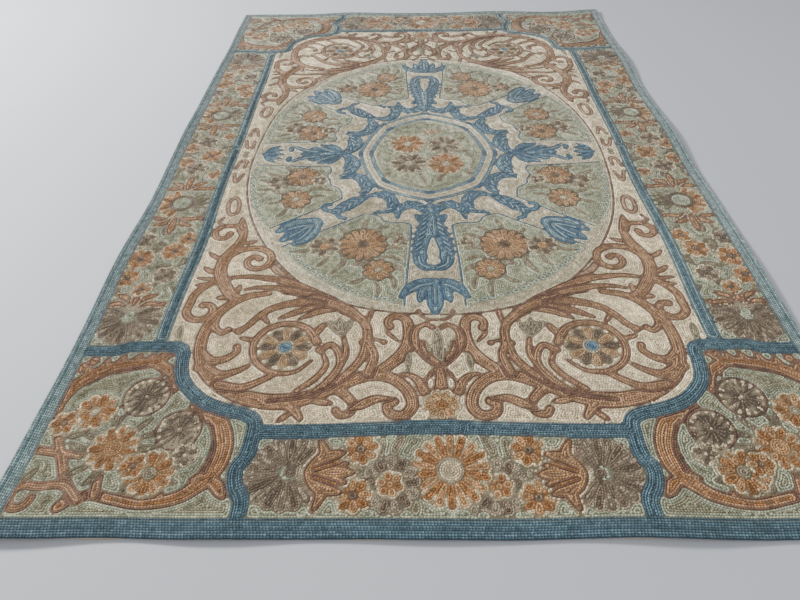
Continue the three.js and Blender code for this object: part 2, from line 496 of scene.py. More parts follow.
def draw_scrolls(canvas):
    """The tan leaf scrolls that fill one corner of the field."""
    lower = [300+470j, 335+478j, 362+496j, 381+524j, 393+562j, 390+612j, 367+658j, 320+691j,
             264+704j, 213+697j, 166+676j, 115+656j, 78+660j, 52+684j, 44+714j, 58+732j,
             78+727j, 82+712j, 72+706j]
    upper = [391+254j, 384+280j, 381+305j, 386+335j, 398+362j, 405+390j, 402+418j, 388+447j,
             368+476j, 352+486j]
    top_curl = [389+290j, 396+275j] + curl(420+299j, 27, -115, 290, 0.38)
    spiral = [392+366j, 376+352j, 352+347j] + curl(341+384j, 35, -95, -400, 0.22)
    left_curl = [398+436j, 416+450j, 433+474j] + curl(409+512j, 30, -30, 310, 0.4)
    centre_curl = [116+657j, 90+643j, 66+622j, 51+600j, 46+572j] + curl(70+548j, 22, 170, 225, 0.5)
    hub = [126+536j, 116+560j, 114+588j, 104+616j, 112+650j]

    canvas.paint("scroll light", leaf(262+428j, 316+382j, 17, 0.12))
    canvas.paint("scroll", *scroll([124+540j, 143+522j, 176+497j, 213+474j, 255+448j, 283+436j,
                                    311+432j, 348+428j, 390+434j], [15, 22, 26, 24, 18, 14, 11, 9]))
    canvas.paint("scroll", *scroll([200+484j, 255+464j, 292+456j, 326+456j, 346+462j], [22, 17, 12, 7]))
    canvas.paint("scroll", *scroll(lower, [12, 17, 19, 19, 20, 24, 26, 22, 20, 19, 17, 14], 8),
                 *scroll(upper, [9, 15, 19, 22, 22, 22, 18]),
                 *scroll(top_curl, [14, 13, 13, 12], 8), *scroll(spiral, [14, 15, 14, 13, 12], 8),
                 *scroll(left_curl, [14, 15, 14, 13], 8),
                 *scroll(centre_curl, [17, 19, 22, 20, 15, 12], 8),
                 *scroll([381+530j, 379+552j, 364+566j, 355+559j], [15, 13, 11], 7),
                 *scroll([390+612j, 368+628j, 345+623j, 331+608j, 333+598j], [20, 16, 13, 11], 7),
                 *scroll([384+640j, 350+656j, 326+650j, 308+638j], [20, 15, 9]),
                 *scroll([244+700j, 226+716j, 214+732j], [18, 16, 11]), leaf(228+722j, 246+738j, 13),
                 *scroll([168+676j, 149+690j, 135+708j, 139+724j, 154+728j, 161+719j], [18, 14, 12], 7),
                 leaf(205+700j, 168+706j, 15), leaf(372+484j, 392+482j, 14), leaf(362+482j, 357+450j, 14),
                 leaf(384+330j, 350+324j, 13, -0.1), leaf(398+376j, 438+357j, 13, 0.15),
                 leaf(402+420j, 436+401j, 14, 0.1), leaf(394+438j, 441+431j, 12),
                 leaf(396+446j, 440+450j, 12), leaf(391+300j, 393+246j, 14))
    canvas.paint("scroll", *scroll([196+488j, 250+494j, 288+508j, 309+528j, 322+548j, 336+562j],
                                   [22, 18, 15, 13, 12], 8), leaf(300+520j, 288+544j, 12, -0.1))
    canvas.paint("scroll", leaf(184+500j, 272+532j, 17, -0.06))
    canvas.paint("scroll", leaf(160+512j, 236+533j, 16, -0.1))
    canvas.paint("scroll", *scroll([126+538j, 150+514j, 186+492j, 216+478j], [15, 19, 18, 10]),
                 *scroll(hub, [15, 15, 14, 15]), leaf(116+546j, 110+510j, 12),
                 *scroll([118+588j, 124+620j, 144+648j, 176+674j], [11, 14, 13, 12]),
                 dot(124+588j, 7), dot(88+588j, 7), stroke([88+588j, 104+582j, 124+588j], [8]),
                 stroke([126+618j, 104+618j], [8]), leaf(64+588j, 86+564j, 10),
                 *scroll([140+718j, 122+710j, 100+700j, 78+700j], [7, 16, 14, 7]))

    canvas.paint("scroll", *scroll(curl(ROSETTE, 54, 150, -318, 1.0), [6, 11, 12, 12, 15]),
                 leaf(300+586j, 333+577j, 12), leaf(206+574j, 190+544j, 16),
                 *scroll([262+651j, 284+667j, 312+680j, 348+676j], [11, 13, 16]))
    canvas.paint("scroll", *scroll([192+604j, 176+592j, 162+610j, 160+636j, 176+664j, 200+688j],
                                   [12, 12, 13, 12]), dot(194+603j, 9),
                 *scroll([188+612j, 182+634j, 198+660j, 226+684j], [8, 11, 11, 9]),
                 *scroll([156+572j, 150+610j, 160+640j], [8, 11, 11]))
    canvas.line("vein", [266+703j, 214+694j, 170+675j])
    canvas.line("vein", [192+491j, 236+478j, 276+470j])
    canvas.paint("leaf", *[leaf(160+572j, tip, 17) for tip in (182+540j, 164+532j, 144+541j)])
    draw_rosette(canvas)


def draw_rosette(canvas):
    """The round flower in the corner's big scroll."""
    made = petals(ROSETTE, 14, 42, 12, 13)
    canvas.paint("pale", *wider(made, 0.4 * ROW), dot(ROSETTE, 18))
    canvas.paint("brown", *made[0::2])
    canvas.paint("gold", *made[1::2])
    canvas.paint("pale", dot(ROSETTE, 15))
    canvas.paint("heart blue", dot(ROSETTE, 11))


def draw_end_spray(canvas):
    """The urn, palmette and flower on the field's centre line."""
    canvas.paint("scroll light", *scroll([540j, 14+538j, 26+531j, 30+519j], [6, 6, 6, 7], 5))
    canvas.paint("leaf", leaf(640j, 560j, 20), leaf(4+636j, 20+588j, 14, 0.1))
    canvas.paint("scroll", *scroll([640j, 22+617j, 37+588j, 35+562j, 20+550j, 8+556j],
                                   [12, 15, 14, 11, 9], 6))
    canvas.paint("scroll", *scroll([2+632j, 22+610j, 26+586j], [9, 10, 7]))
    canvas.paint("scroll", stroke([706j, 672j, 646j], [30, 22, 16]), dot(7+646j, 7),
                 *scroll([2+702j, 24+690j, 34+668j, 47+656j, 60+653j], [16, 16, 13, 7]),
                 *scroll([4+690j, 19+674j, 15+652j], [10, 11, 8]))
    canvas.paint("field", leaf(16+682j, 15+664j, 9))
    for root, tip, width in ((50+646j, 47+612j, 12), (431+588j, 436+548j, 14)):
        canvas.paint("leaf", leaf(root, tip, width))
    flower(canvas, 714j, 26, "gold", "orange", 0.3, 90)


def draw_side_links(canvas):
    """The small links between the side band and the medallion."""
    canvas.paint("scroll light", *scroll([406+226j, 408+196j, 419+178j, 430+192j, 428+222j, 418+238j,
                                          408+230j], [9]))
    canvas.paint("scroll light", *scroll([442+84j, 431+118j, 420+84j], [8, 9, 8]), dot(440+84j, 5))
    canvas.paint("scroll light", *scroll([444+62j, 436+30j, 424+30j, 424+58j], [8, 9, 8]))
    canvas.paint("leaf", dot(433+8j, 8))
    canvas.paint("scroll light", *scroll([432+246j, 440+262j, 428+270j], [7]))


def draw_corner_panel(canvas):
    """The corner of the border: two leaf arches, two wheels and a spray of flowers."""
    canvas.paint("arch", *frond([566+754j, 584+722j, 580+684j, 560+656j, 530+640j, 494+632j,
                                 462+628j, 436+614j], [12, 20, 24, 27, 29, 29, 24, 12], 9, 20, 1, 40),
                 *frond([450+634j, 424+652j, 414+678j, 420+694j], [22, 22, 14], 2, 10, -1),
                 dot(578+636j, 11), dot(562+622j, 10))
    canvas.paint("arch", *frond([378+716j, 346+728j, 324+750j, 314+780j, 316+812j, 330+838j],
                                [12, 22, 28, 30, 29, 24], 8, 21, -1, 40),
                 *scroll([330+838j, 358+860j, 404+870j, 446+862j, 474+855j, 496+860j, 512+872j],
                         [22, 18, 15, 15, 15, 15]),
                 leaf(330+832j, 296+860j, 22, 0.12), dot(508+866j, 10), leaf(380+866j, 392+844j, 14))
    canvas.line("vein", [556+672j, 520+648j, 470+638j])
    canvas.line("vein", [340+750j, 328+786j, 332+822j])
    canvas.paint("stem", *scroll([590+786j, 556+790j, 516+796j], [12, 12, 10]),
                 *scroll([570+752j, 540+800j, 520+832j, 492+864j], [11, 13, 14, 13]))
    loop = [492+862j, 518+840j, 550+842j] + curl(566+858j, 19, -120, 300, 0.7)
    for points, width in ((loop, 12), ([472+856j, 478+826j], 13)):
        canvas.paint("stem", *scroll(points, [width]))
    leaves(canvas, "leaf dark", 12, 0.08, (500+772j, 536+744j), (490+760j, 476+730j),
           (456+768j, 432+736j), (448+790j, 412+786j), (460+806j, 440+838j), (494+802j, 522+824j),
           (504+786j, 540+776j), (478+810j, 494+840j), (424+800j, 392+800j), (444+770j, 408+762j),
           (520+752j, 548+766j), (398+846j, 366+838j), (420+852j, 440+846j), (566+812j, 580+836j),
           (486+742j, 500+708j))
    for centre, radius in ((454+697j, 37), (387+755j, 35)):
        canvas.paint("vein", dot(centre, radius))
        canvas.paint("halo", dot(centre, radius - 1.0 * ROW))
        canvas.paint("brown", *petals(centre, 7, radius - 1.9 * ROW, 16, 1.6 * ROW, 15))
        canvas.paint("heart dark", dot(centre, 9))
        canvas.paint("pale", dot(centre, 4))
    flowers(canvas, (474+784j, 34, "orange", "orange light", 0.4, 100),
            (524+722j, 30, "orange", "heart", 0.28, 40), (562+742j, 19, "orange", "heart dark", 0.25, 10),
            (408+824j, 33, "orange", "leaf", 0.3, 20), (436+812j, 18, "orange", "heart dark", 0.25, 0),
            (366+796j, 17, "brown", "pale", 0.25, 0))


def palmette(canvas, root, size, heading):
    """Five lobes that fan out from a root, the outer two ending in curls."""
    way = turn(heading)
    for lean, length, width in PALMETTE:
        made = []
        for sign in ((1, -1) if lean else (1,)):
            out = way * turn(sign * lean)
            tip = root + size * length * out
            bow = PALMETTE_BOW * sign * (lean > 0)
            made.append(leaf(root + 0.1 * size * out, tip, width * size, bow))
            if lean > CURLED:
                made.append(dot(tip + 0.08 * size * way, 0.13 * size))
        canvas.paint("halo", *wider(made, 0.8 * ROW))
        canvas.paint("palmette", *made)


def draw_side_border(canvas):
    """Half of one long side of the border: a half daisy, palmettes, a ring and small flowers."""
    for x, y, bearing, length in (
            (6, 404, 200, 36), (2, 400, 320, 36), (4, 340, 30, 34), (-2, 372, 170, 34),
            (10, 322, 120, 30), (-34, 326, 200, 22), (44, 346, 80, 26), (30, 40, 60, 34),
            (-30, 30, 160, 28), (20, 12, 330, 34), (-40, 62, 110, 30), (44, 76, 70, 30),
            (34, 280, 60, 26), (-32, 280, 120, 26), (-2, 84, 90, 22), (46, 12, 40, 22),
            (-44, 396, 240, 26), (48, 400, 300, 24), (-12, 430, 90, 30), (18, 350, 250, 30),
            (-46, 370, 100, 22), (12, 300, 270, 26), (-20, 52, 60, 26), (8, 30, 110, 30),
            (-50, 8, 80, 26), (52, 50, 100, 24), (-10, 452, 40, 26), (-48, 454, 130, 22),
            (46, 456, 60, 22), (-50, 246, 250, 22), (54, 246, 290, 22)):
        root = BORDER_MIDDLE + x + 1j * y
        leaves(canvas, "leaf dark", 12, 0.1, (root, root + length * turn(bearing)))
    flower(canvas, 535+528j, 58, "daisy", "mist heart", 0.2, -30, 256, "grey")
    canvas.paint("ground", dot(535+522j, 9))
    for root, size, heading in ((536+504j, 54, -90), (534+240j, 56, 90), (536+148j, 56, -90)):
        palmette(canvas, root, size, heading)
    for x, y, radius, style in (
            (42, 428, 22, "orange"), (-26, 420, 21, "brown"), (36, 374, 27, "orange"),
            (-24, 350, 25, "orange"), (42, 318, 20, "brown"), (-40, 312, 19, "orange"),
            (8, 58, 24, "brown"), (-16, 4, 25, "orange"), (40, 30, 19, "orange"),
            (-42, 84, 16, "orange"), (4, 458, 17, "orange")):
        flower(canvas, BORDER_MIDDLE + x + 1j * y, radius, style, "heart dark", 0.28, 20 * x)
    flower(canvas, 534+194j, 50, "orange", "ground", 0.3, -62, 154)
    for bearing in (130, 156, 180, 204, 230):
        canvas.paint("leaf dark", leaf(518+194j, 518+194j + 42 * turn(bearing), 13))
    canvas.paint("brown", ring(534+194j, 24, 8))
    canvas.paint("mist heart", dot(534+194j, 19))


def draw_end_border(canvas):
    """Half of one short side of the border."""
    leaves(canvas, "leaf", 15, 0.1, (70+806j, 56+768j), (88+808j, 86+772j), (100+820j, 132+818j),
           (50+858j, 38+882j))
    middle = 10 * canvas.side if canvas.end < 0 else 0
    flowers(canvas, (middle + 821j, 54, "orange", "heart", 0.36, 90),
            (74+842j, 40, "brown", "pale", 0.4, 20, 360, "grey"),
            (74+842j, 18, "orange", "orange light", 0.3, 45),
            (118+787j, 24, "orange", "heart dark", 0.25, 12),
            (124+857j, 24, "orange", "heart dark", 0.25, 50),
            (216+822j, 56, "daisy", "mist heart", 0.2, -128, 276, "grey"))
    canvas.paint("brown", dot(214+822j, 8))
    calyx = [*scroll([178+772j, 170+792j, 180+808j, 186+822j, 180+838j, 168+852j, 174+874j],
                     [9, 15, 16, 17, 16, 15, 9]),
             leaf(184+812j, 142+792j, 19, 0.1), leaf(184+832j, 142+852j, 19, -0.1),
             leaf(186+822j, 128+823j, 22), leaf(186+818j, 136+809j, 17), leaf(186+828j, 136+838j, 17)]
    canvas.paint("halo", *wider(calyx, 0.9 * ROW))
    canvas.paint("palmette", *calyx)
    canvas.line("orange", [180+817j, 148+806j], [180+829j, 148+840j])


def draw_wedges(canvas):
    """The sage panels of the medallion, with their thin blue edges and their sprays."""
    near = [139+236j, 218+287j, 298+343j]
    near_rim = [298+343j, 258+392j, 200+440j, 143+476j, 55+506j]
    near_spoke = [55+506j, 50+400j, 41+276j]
    near_scallop = [41+276j, 60+268j, 80+268j, 98+262j, 104+250j, 118+240j, 139+236j]
    side = [397+46j, 310+54j, 227+56j]
    side_scallop = [227+56j, 222+74j, 229+92j, 220+112j, 218+128j, 196+146j, 189+178j]
    side_cut = [189+178j, 260+232j, 331+284j]
    side_rim = [331+284j, 362+241j, 386+180j, 399+105j, 397+46j]
    for outline in ((near, near_rim, near_spoke, near_scallop), (side, side_scallop, side_cut, side_rim)):
        canvas.fill(np.concatenate([spline(part) for part in outline]), "panel")
    for part in (near, near_spoke, near_scallop, side, side_scallop, side_cut):
        canvas.line("wedge edge", part)
    for part in (near_rim, side_rim):
        rim = 0.985 * spline(part)
        for at in range(12, len(rim) - 8, 8):
            canvas.line("bead", [rim[at - 1], rim[at + 2]])
    leaves(canvas, "leaf", 13, 0.12, (186+352j, 172+396j), (240+346j, 272+356j), (232+326j, 254+306j),
           (204+366j, 222+398j), (96+318j, 62+304j), (112+296j, 88+280j), (94+348j, 62+350j),
           (98+372j, 62+384j), (88+420j, 74+462j), (128+424j, 158+444j), (136+290j, 130+256j),
           (82+394j, 60+416j), (122+380j, 156+392j), (168+300j, 186+284j), (176+372j, 196+420j),
           (250+330j, 276+336j), (110+440j, 104+478j))
    flowers(canvas, (139+334j, 46, "peach", "heart dark", 0.22, 10, 360, "brown"),
            (213+340j, 28, "brown", "orange light", 0.36, 0),
            (106+408j, 27, "peach", "heart", 0.28, 20, 360, "brown"),
            (66+326j, 14, "brown", "pale", 0.3, 20))
    leaves(canvas, "leaf", 13, 0.12, (262+178j, 226+168j), (268+160j, 240+136j), (312+160j, 346+150j),
           (262+126j, 240+120j), (332+92j, 372+78j), (304+210j, 322+244j), (346+140j, 376+150j),
           (318+186j, 352+198j), (256+84j, 238+76j), (304+66j, 330+62j), (280+212j, 276+232j),
           (246+148j, 214+148j), (340+108j, 378+112j))
    flowers(canvas, (330+120j, 27, "brown", "heart", 0.3, 0),
            (284+98j, 35, "peach", "heart dark", 0.26, 0, 360, "brown"),
            (288+182j, 31, "peach", "heart", 0.3, 15, 360, "brown"),
            (244+112j, 16, "brown", "pale", 0.3, 15))


def draw_spokes(canvas):
    """The blue leaves between the wedges, and the ring of leafy scrolls round the middle."""
    canvas.paint("ornament", leaf(232+258j, 312+294j, 30, -0.12), leaf(234+262j, 274+334j, 29, 0.12),
                 leaf(232+258j, 300+322j, 33), dot(244+268j, 22))
    canvas.line("ornament light", [246+270j, 268+276j, 292+286j], [244+276j, 252+296j, 266+318j],
                [250+274j, 270+296j, 286+310j], width=RIB)
    bough, widths = [136+176j, 158+188j, 182+208j, 202+228j], [14, 34, 36, 18]
    canvas.paint("ornament", *frond(bough, widths, 3, 8, 1),
                 *scroll([202+224j, 222+220j, 226+204j, 214+200j], [12, 11, 9], 6),
                 *scroll([196+230j, 192+246j, 180+250j], [11, 9], 5))
    canvas.paint("ornament light", *feathers(bough, widths, 5, 1), *feathers(bough, widths, 5, -1))
    for points, widths, side in (
            ([208+4j, 186+14j, 175+44j, 180+78j, 196+104j], [12, 30, 40, 28, 9], -1),
            ([190+102j, 164+95j, 143+112j, 136+140j, 146+166j], [10, 26, 34, 28, 12], -1),
            ([134+172j, 106+166j, 84+182j, 77+208j, 90+228j, 120+233j], [10, 23, 29, 26, 14, 7], -1),
            ([70+254j, 66+228j, 48+209j, 26+211j, 8+236j], [9, 20, 28, 28, 18], 1)):
        canvas.paint("ornament", *frond(points, widths, 3, 6, side, 62))
        canvas.paint("ornament light", *feathers(points, widths, 6, side))
    canvas.paint("ornament", *scroll([9+238j, 15+254j, 27+255j, 29+245j], [11, 10, 9], 5))


def draw_end_spoke(canvas):
    """The long blue lyre over the medallion's length, with its window, and the bell below it."""
    leg, widths = [4+222j, 9+262j, 15+300j, 22+336j, 25+364j], [20, 27, 33, 36, 34]
    canvas.paint("ornament", stroke([208j, 250j, 304j], [16, 26, 26]), *frond(leg, widths, 7, 9, -1, 58),
                 *scroll([25+360j, 27+384j, 19+402j, 4+405j], [27, 23, 18, 15]))
    canvas.paint("medallion", stroke([318j, 340j, 362j, 380j], [5, 16, 25, 17]))
    canvas.paint("ornament light", *feathers(leg, widths, 8, -1),
                 stroke([29+372j, 25+394j, 8+405j], [ROW]))
    canvas.paint("ornament", leaf(440j, 522j, 32),
                 *scroll([447j, 20+448j, 42+458j, 62+484j], [22, 23, 20, 8]), leaf(20+452j, 28+496j, 18))
    canvas.line("ornament light", [6+450j, 26+454j, 46+468j], [456j, 500j], width=RIB)


def draw_side_spoke(canvas):
    """The blue palmette across the medallion's width with its two arms, and the bud past it."""
    canvas.paint("ornament", *scroll([236+4j, 272+9j, 302+20j, 320+32j, 332+26j, 328+16j],
                                     [20, 18, 14, 11, 9], 6), leaf(250, 302, 19))
    canvas.paint("ornament", leaf(206, 234+44j, 15, 0.1), leaf(208, 258+42j, 18, 0.1))
    canvas.paint("ornament", leaf(208, 280+27j, 20, 0.05))
    canvas.paint("ornament", leaf(204, 278, 20))
    canvas.line("ornament light", [220+6j, 246+22j, 272+36j], [260+8j, 300+20j, 324+34j], width=RIB)
    canvas.paint("ornament", leaf(394, 346, 16), leaf(390+4j, 348+19j, 14, -0.1),
                 leaf(388+8j, 358+36j, 12, -0.1))


def octagonal(radius, tall, width):
    """A closed frame of eight bowed sides, half way between straight ones and an oval."""
    around = np.radians(np.arange(0, 360, 0.7))
    off = (np.degrees(around) % 45) - 22.5
    reach = radius * (0.5 + 0.5 * math.cos(math.radians(22.5)) / np.cos(np.radians(off)))
    line = reach * (np.cos(around) + 1j * tall * np.sin(around))
    return np.append(line, line[0]), np.full(len(line) + 1, width / 2)


def draw_roundel(canvas):
    """The oval in the middle: its frame of two blue lines in eight lengths, and four flowers."""
    canvas.fill(octagonal(126, 1.25, ROW)[0][::4], "panel")
    canvas.paint("medallion", octagonal(145, 1.21, 34))
    for reach, tall in ((159, 1.2), (134, 1.22)):
        canvas.paint("frame", octagonal(reach, tall, 10))
    for bearing in range(0, 360, 45):
        way = turn(bearing)
        for reach in (134, 159):
            spot = reach * complex(way.real, way.imag * 1.21)
            canvas.paint("ornament", *[dot(spot + slip * 1j * way, 6.5) for slip in (-6, 6)])
    flowers(canvas, (-50+40j, 40, "orange", "heart", 0.28, -50), (38+34j, 38, "brown", "heart", 0.28, 38),
            (-46-44j, 39, "brown", "heart", 0.28, -46), (40-46j, 42, "orange", "heart", 0.28, 40))
    leaves(canvas, "gold", 10, 0, (8+80j, 14+118j), (18+82j, 34+112j), (80j, -10+106j))
    leaves(canvas, "leaf", 15, 0, (-20-82j, -8-126j), (34-90j, 20-118j), (72+4j, 96+14j),
           (-88-6j, -104+4j), (-84+66j, -100+80j), (76+62j, 92+76j), (-84-80j, -96-92j),
           (84-76j, 98-88j))


def draw_rug(canvas):
    """The whole drawing, from the grounds up to the bands that lie over all else."""
    draw_grounds(canvas)
    for quarter in canvas.quarters():
        for draw in (draw_scrolls, draw_end_spray, draw_side_links, draw_wedges, draw_side_border,
                     draw_corner_panel, draw_end_border, draw_spokes, draw_end_spoke, draw_side_spoke):
            draw(quarter)
    draw_roundel(canvas)
    for quarter in canvas.quarters():
        draw_bands(quarter)


# The rows: a stitch fills the canvas round three places along it, on a finer grid, and the next
# stitch keeps clear. Rows lie half a row in from each edge and then a row apart. After them, short
# rows of at least two stitches fill what is left between.
TAKEN_CELL = 0.6
TAKEN_REACH = 0.54 * ROW
TAKEN_MARGIN = 8
SAMPLES = (0.15, 0.5, 0.85)
CLEAR_OF_BORDER = 0.2 * ROW
SHORTEST_LINE = 1.2 * STITCH
FIRST_FILL = 0.3
FILL_SHIFTS = (0.25, 0.1)
SHORTEST_FILL = 2
# The border's near end is worked in darker yarns than its sides and far end: painted light, for how the
# light falls on them.
END_YARNS = ("slate", "teal", "teal", "slate", "teal", "teal", "teal", "slate")
LIT_SIDE_YARNS = ("mist", "mist", "teal", "mist", "mist", "mist", "mist", "teal")


def level_lines(canvas, level):
    """The closed lines that lie at one distance from the edges of the motifs."""
    depth = canvas.depth
    rows, columns = depth.shape
    above = depth > level
    across, along = above[:, :-1] != above[:, 1:], above[:-1] != above[1:]
    sides = (across[:-1], along[:, 1:], across[1:], along[:, :-1])
    row, column = np.nonzero(sides[0] | sides[1] | sides[2] | sides[3])
    crossed = np.stack([side[row, column] for side in sides], axis=-1)
    here = row * columns + column
    names = np.stack([here, depth.size + here + 1, here + columns, depth.size + here], axis=-1)
    twice = crossed.all(axis=-1)
    pairs = np.concatenate([names[~twice][crossed[~twice]].reshape(-1, 2), names[twice].reshape(-1, 2)])

    beside = {}
    for a, b in pairs.tolist():
        beside.setdefault(a, []).append(b)
        beside.setdefault(b, []).append(a)
    flat, places = depth.ravel(), canvas.at.ravel()
    while beside:
        start, (_, after) = beside.popitem()
        run = [start]
        last, name = start, after
        while name != start:
            run.append(name)
            one, other = beside.pop(name)
            last, name = name, (other if one == last else one)
        run = np.array(run)
        upright = run >= depth.size
        cell = run % depth.size
        beyond = cell + np.where(upright, columns, 1)
        share = (level - flat[cell]) / (flat[beyond] - flat[cell])
        yield (places[cell] + share * (places[beyond] - places[cell])).astype(complex)


def smoothed(line, passes=4):
    """A closed line with the steps of the grid worn off."""
    for _ in range(passes):
        line = (np.roll(line, 1) + 2 * line + np.roll(line, -1)) / 4
    return np.append(line, line[0])


def spaced(line):
    """The needle's holes along a line, about a stitch apart."""
    along = lengths_along(line)
    count = max(round(along[-1] / STITCH), 2)
    at = np.linspace(0, along[-1], count + 1)
    return np.interp(at, along, line.real) + 1j * np.interp(at, along, line.imag)


class Stitches:
    """The stitches worked so far, and which places on the canvas they fill."""

    def __init__(self, canvas):
        self.canvas = canvas
        self.tails, self.heads, self.yarns, self.rows = [], [], [], []
        self.columns = math.ceil(RUG_WIDTH / TAKEN_CELL) + 2 * TAKEN_MARGIN
        lines = math.ceil(RUG_LENGTH / TAKEN_CELL) + 2 * TAKEN_MARGIN
        self.filled_by = [0] * (lines * self.columns)
        reach = int(TAKEN_REACH / TAKEN_CELL)
        steps = range(-reach, reach + 1)
        self.disc = [v * self.columns + u for v in steps for u in steps
                     if math.hypot(u, v) * TAKEN_CELL <= TAKEN_REACH]
        self.count = 0
        self.yarn_names = list(YARNS)
        self.table = {}

    def yarn_of(self, style, step):
        """The number of the yarn that a motif's row is worked in."""
        choice = STYLES[style]
        return self.yarn_names.index(choice[min(step, len(choice) - 1)])

    def work(self, line, step, serial=None, yarn=None, least=1):
        """Works a row along a line, but for where other stitches are too near or it is too short."""
        holes = spaced(line)
        tails, heads = holes[:-1], holes[1:]
        row, column = self.canvas.cell((tails + heads) / 2)
        owner = self.canvas.owner[row, column]
        if yarn is None:
            keep = self.canvas.edge_gap[row, column] > CLEAR_OF_BORDER
        else:
            keep = np.ones(len(tails), bool)
        if serial is not None:
            keep &= owner == serial
        spots = np.stack([tails + share * (heads - tails) for share in SAMPLES], axis=-1)
        down = ((spots.imag + HALF_LENGTH) / TAKEN_CELL + TAKEN_MARGIN).astype(int)
        right = ((spots.real + HALF_WIDTH) / TAKEN_CELL + TAKEN_MARGIN).astype(int)
        spots = (down * self.columns + right).tolist()
        filled, disc = self.filled_by, self.disc
        if least > 1:
            keep &= np.array([not any(filled[spot] for spot in places) for places in spots])
            for start, end in runs_of(keep):
                if end - start < least:
                    keep[start:end] = False
        first = last = older = 0
        for i in np.flatnonzero(keep):
            mine = (0, first, last, older)
            if any(filled[spot] not in mine for spot in spots[i]):
                continue
            self.count += 1
            number = self.count
            for spot in spots[i]:
                for step_to in disc:
                    filled[spot + step_to] = number
            first = first or number
            last, older = number, last
            self.tails.append(tails[i])
            self.heads.append(heads[i])
            self.rows.append(self.row_number)
            if yarn is None:
                self.yarns.append(self.yarn_of(self.canvas.motifs[owner[i]], step))
            else:
                self.yarns.append(self.yarn_names.index(yarn))

    def work_rug(self):
        """The border's long rows, then the thin lines, then every motif from its edge inwards."""
        self.row_number = 0
        for i, (end_yarn, lit_side_yarn) in enumerate(zip(END_YARNS, LIT_SIDE_YARNS)):
            x, y = HALF_WIDTH - (i + 0.5) * ROW, HALF_LENGTH - (i + 0.5) * ROW
            corners = (-x - 1j * y, x - 1j * y, x + 1j * y, -x + 1j * y, -x - 1j * y)
            # The near end's row in the darker yarn, the others in the lighter: painted light.
            yarns = (end_yarn, lit_side_yarn, lit_side_yarn, lit_side_yarn)
            for start, end, yarn in zip(corners, corners[1:], yarns):
                self.row_number += 1
                self.work(np.array([start, end]), 0, yarn=yarn)
        for points, serial in self.canvas.lines:
            self.row_number += 1
            self.work(points, 0, serial=serial)
        deepest = math.ceil(self.canvas.depth.max() / ROW)
        whole = [k + 0.5 for k in range(deepest)]
        between = [FIRST_FILL] + [k + shift for shift in FILL_SHIFTS for k in range(1, deepest)]
        for level in whole + between:
            for line in level_lines(self.canvas, level * ROW):
                if len(line) * CELL > SHORTEST_LINE:
                    self.row_number += 1
                    self.work(smoothed(line), int(level), least=1 if level in whole else SHORTEST_FILL)


canvas = Canvas()
draw_rug(canvas)
within_band = np.array([style.endswith("band") for style in canvas.motifs])[canvas.owner]
canvas.depth = np.where(within_band, canvas.depth, np.minimum(canvas.depth, canvas.edge_gap))
for edge in (canvas.depth[0], canvas.depth[-1], canvas.depth[:, 0], canvas.depth[:, -1]):
    edge[...] = -1
stitches = Stitches(canvas)
stitches.work_rug()


# The stitches
# One stitch is a drop: its tail in the stitch before it, its left and right foot, and its crown,
# as shares of its length, of the row's width and of its height.
DROP = ((-0.42, 0.0, 0.35), (0.86, 0.58, 0.0), (0.86, -0.58, 0.0), (0.66, 0.0, 1.0))
DROP_FACES = ((0, 2, 3), (2, 1, 3), (1, 0, 3), (0, 1, 2))
# How light each corner of a drop is painted: the tail and the feet darker, as painted shade low between
# the stitches, and the crown lighter, as a painted highlight.
DROP_PAINTED_LIGHT = (0.62, 0.74, 0.74, 1.3)
DROP_LENGTH = DROP[1][0] - DROP[0][0]
# A stitch's cell of the map: where its upper faces start and how much of it they take, and where
# the corners of its underside lie, in the free corner.
CELL_START, CELL_ALONG, CELL_ACROSS = 0.04, 0.92, 0.76
UNDERSIDE = {0: (0.05, 0.95), 1: (0.45, 0.95), 2: (0.05, 0.66)}
SUNK = 0.25
# Between which bounds the stitches, the rows and the small patches of wool vary.
STITCH_WIDTHS = (0.94, 1.08)
STITCH_LEANS = (-0.14, 0.14)
STITCH_HEIGHTS = (0.85, 1.0)
STITCH_TONES = (0.68, 1.32)
ROW_TONES = (0.82, 1.18)
PATCH_TONES = (0.76, 1.24)
PATCH = 8
# A motif's stitches stand lower near its edge, and full height from a few rows in.
EDGE_HEIGHT = 0.72
FULL_FROM = 2.5 * ROW
# The painted glare: how far the colours are drawn to a warm grey, as glare washes them out at a
# low angle: not at the near end, and this at the far.
FAR_GLARE = 0.36
GLARE_TINT = (1.04, 0.97, 0.84)
# How much the wool's batches differ, how much darker the far end is than the middle as painted
# shade, and how dark the canvas is painted beside its stitches, as shade in the gaps.
BATCH_SHADES, FAR_PAINTED_SHADE = 0.05, 0.08
CANVAS_PAINTED_SHADE = 0.34
STITCH_MAP = "OFBake"
# The meshes' colour: the wool's own, with the painted shade, painted highlight and painted glare.
COLOUR_AND_SHADE = "Wool colour and painted shade"
IN_STITCH = "Place in the stitch"


def linear(colour):
    """A colour as the eye sees it, 0 to 255, in the light's own amounts."""
    share = np.asarray(colour, float) / 255
    return np.where(share <= 0.04045, share / 12.92, ((share + 0.055) / 1.055) ** 2.4)


